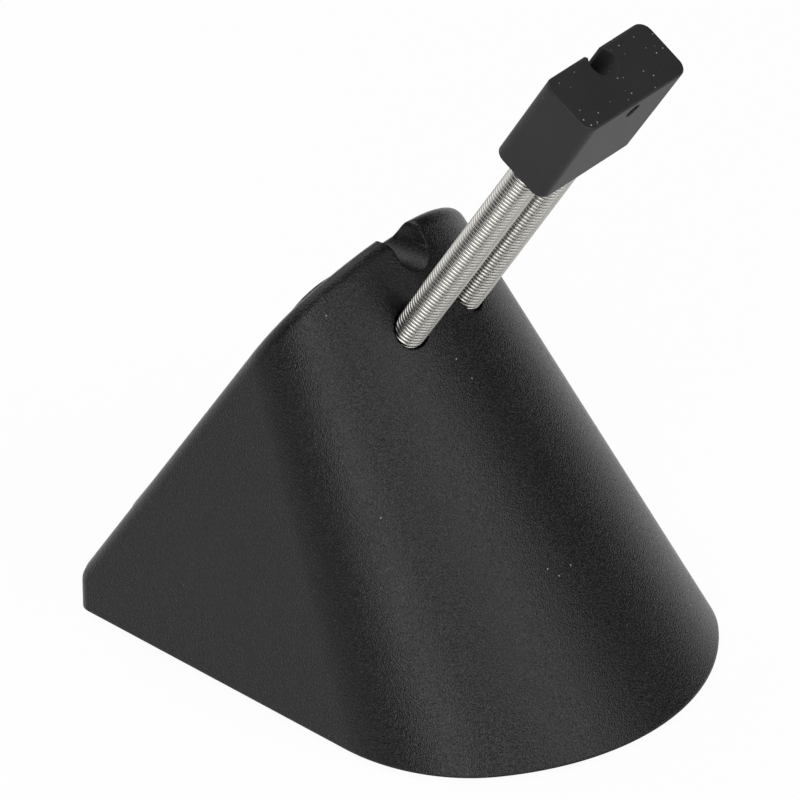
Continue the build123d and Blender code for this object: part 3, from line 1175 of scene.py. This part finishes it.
def way_to(azimuth, elevation):
    """The way from the object to a lamp or camera, turned from the front and raised from the desk."""
    return Vector((sin(azimuth) * cos(elevation), -cos(azimuth) * cos(elevation), sin(elevation)))


def stand(name, data, aim, out, away):
    """Stands a lamp or camera at a distance from what it is aimed at."""
    made = bpy.data.objects.new(name, data)
    bpy.context.scene.collection.objects.link(made)
    made.location = aim + out * away
    made.rotation_euler = out.to_track_quat("Z", "Y").to_euler()
    return made


class BUNGEE_OT_stage(bpy.types.Operator):
    """Sets the floor, the soft lamps and the camera"""

    bl_idname = "bungee.stage"
    bl_label = "Stage"

    def execute(self, context):
        stage = context.scene.bungee_stage
        look = context.scene.bungee_look
        deselect_all()
        bpy.ops.mesh.primitive_plane_add(size=stage.floor_size, location=(0, 0, -stage.floor_gap))
        floor = context.object
        floor.name = "studio_floor"
        apply_place()
        material, tree = new_material("white_floor")
        paint = add_node(
            tree, "ShaderNodeBsdfPrincipled", {"Base Color": linear(look.floor_colour), "Roughness": 0.9}
        )
        # The eye and the bright springs see the floor almost white, with a trace of the shadow left in it.
        glow = add_node(tree, "ShaderNodeEmission", {"Color": (1, 1, 1, 1), "Strength": 1.0})
        seen = add_node(
            tree, "ShaderNodeMath", {0: seen_white(tree), 1: stage.floor_white}, operation="MULTIPLY"
        )
        both = add_node(
            tree, "ShaderNodeMixShader", {0: seen.outputs[0], 1: paint.outputs[0], 2: glow.outputs[0]}
        )
        finish_material(tree, both)
        floor.data.materials.append(material)

        world = bpy.data.worlds.new("dim_room")
        context.scene.world = world
        world.use_nodes = True
        tree = world.node_tree
        tree.nodes.clear()
        room = add_node(
            tree, "ShaderNodeBackground", {"Color": (1, 1, 1, 1), "Strength": stage.world_strength}
        )
        add_node(tree, "ShaderNodeOutputWorld", {"Surface": room.outputs[0]})

        # Name, power, degrees from the front and above the desk, then distance, width and height in m.
        lamps = (
            ("left_softbox", stage.left_power, -60, 26, 0.9, 0.55, 0.8),
            ("front_softbox", stage.front_power, 4, 31, 0.9, 0.6, 0.8),
            ("back_softbox", stage.back_power, 170, 60, 1.0, 1.0, 1.0),
            ("rear_fill", stage.fill_power, 180, 25, 1.3, 1.8, 1.8),
        )
        for name, power, azimuth, elevation, away, width, height in lamps:
            light = bpy.data.lights.new(name, "AREA")
            light.energy = power
            light.shape = "RECTANGLE"
            light.size = width
            light.size_y = height
            stand(name, light, UP * stage.lamp_aim, way_to(radians(azimuth), radians(elevation)), away)

        out = way_to(stage.azimuth, stage.elevation)
        right = Vector((cos(stage.azimuth), sin(stage.azimuth), 0))
        up = out.cross(right)
        view = bpy.data.cameras.new("photo_camera")
        view.sensor_width = 36
        view.lens = stage.lens
        view.clip_start = 0.1
        view.clip_end = 20
        aim = Vector((0, stage.aim_back, stage.aim_height)) + right * stage.aim_side + up * stage.aim_up
        context.scene.camera = stand("photo_camera", view, aim, out, stage.distance)
        context.scene.view_settings.view_transform = "Standard"
        return {"FINISHED"}


class BUNGEE_PT_panel(bpy.types.Panel):
    """Lists the pieces in the sidebar"""

    bl_idname = "BUNGEE_PT_panel"
    bl_label = "Mouse Bungee"
    bl_space_type = "VIEW_3D"
    bl_region_type = "UI"
    bl_category = "Mouse Bungee"

    def draw(self, context):
        for operator in OPERATORS:
            self.layout.operator(operator.bl_idname)
        for group in (getattr(context.scene, name) for name in GROUPS):
            box = self.layout.box()
            for name in group.__annotations__:
                box.prop(group, name)


OPERATORS = (
    BUNGEE_OT_shell,
    BUNGEE_OT_mouldings,
    BUNGEE_OT_springs,
    BUNGEE_OT_head,
    BUNGEE_OT_feet,
    BUNGEE_OT_screws,
    BUNGEE_OT_inside,
    BUNGEE_OT_stage,
)
GROUPS = {
    "bungee_body": BungeeBody,
    "bungee_arm": BungeeArm,
    "bungee_feet": BungeeFeet,
    "bungee_screws": BungeeScrews,
    "bungee_look": BungeeLook,
    "bungee_stage": BungeeStage,
}


def register():
    for name, group in GROUPS.items():
        bpy.utils.register_class(group)
        setattr(bpy.types.Scene, name, PointerProperty(type=group))
    for made in (*OPERATORS, BUNGEE_PT_panel):
        bpy.utils.register_class(made)


def unregister():
    for made in (BUNGEE_PT_panel, *reversed(OPERATORS)):
        bpy.utils.unregister_class(made)
    for name, group in GROUPS.items():
        delattr(bpy.types.Scene, name)
        bpy.utils.unregister_class(group)


def main():
    register()
    bpy.ops.bungee.shell()
    bpy.ops.bungee.mouldings()
    bpy.ops.bungee.springs()
    bpy.ops.bungee.head()
    bpy.ops.bungee.feet()
    bpy.ops.bungee.screws()
    bpy.ops.bungee.inside()
    bpy.ops.bungee.stage()


if __name__ == "__main__":
    main()
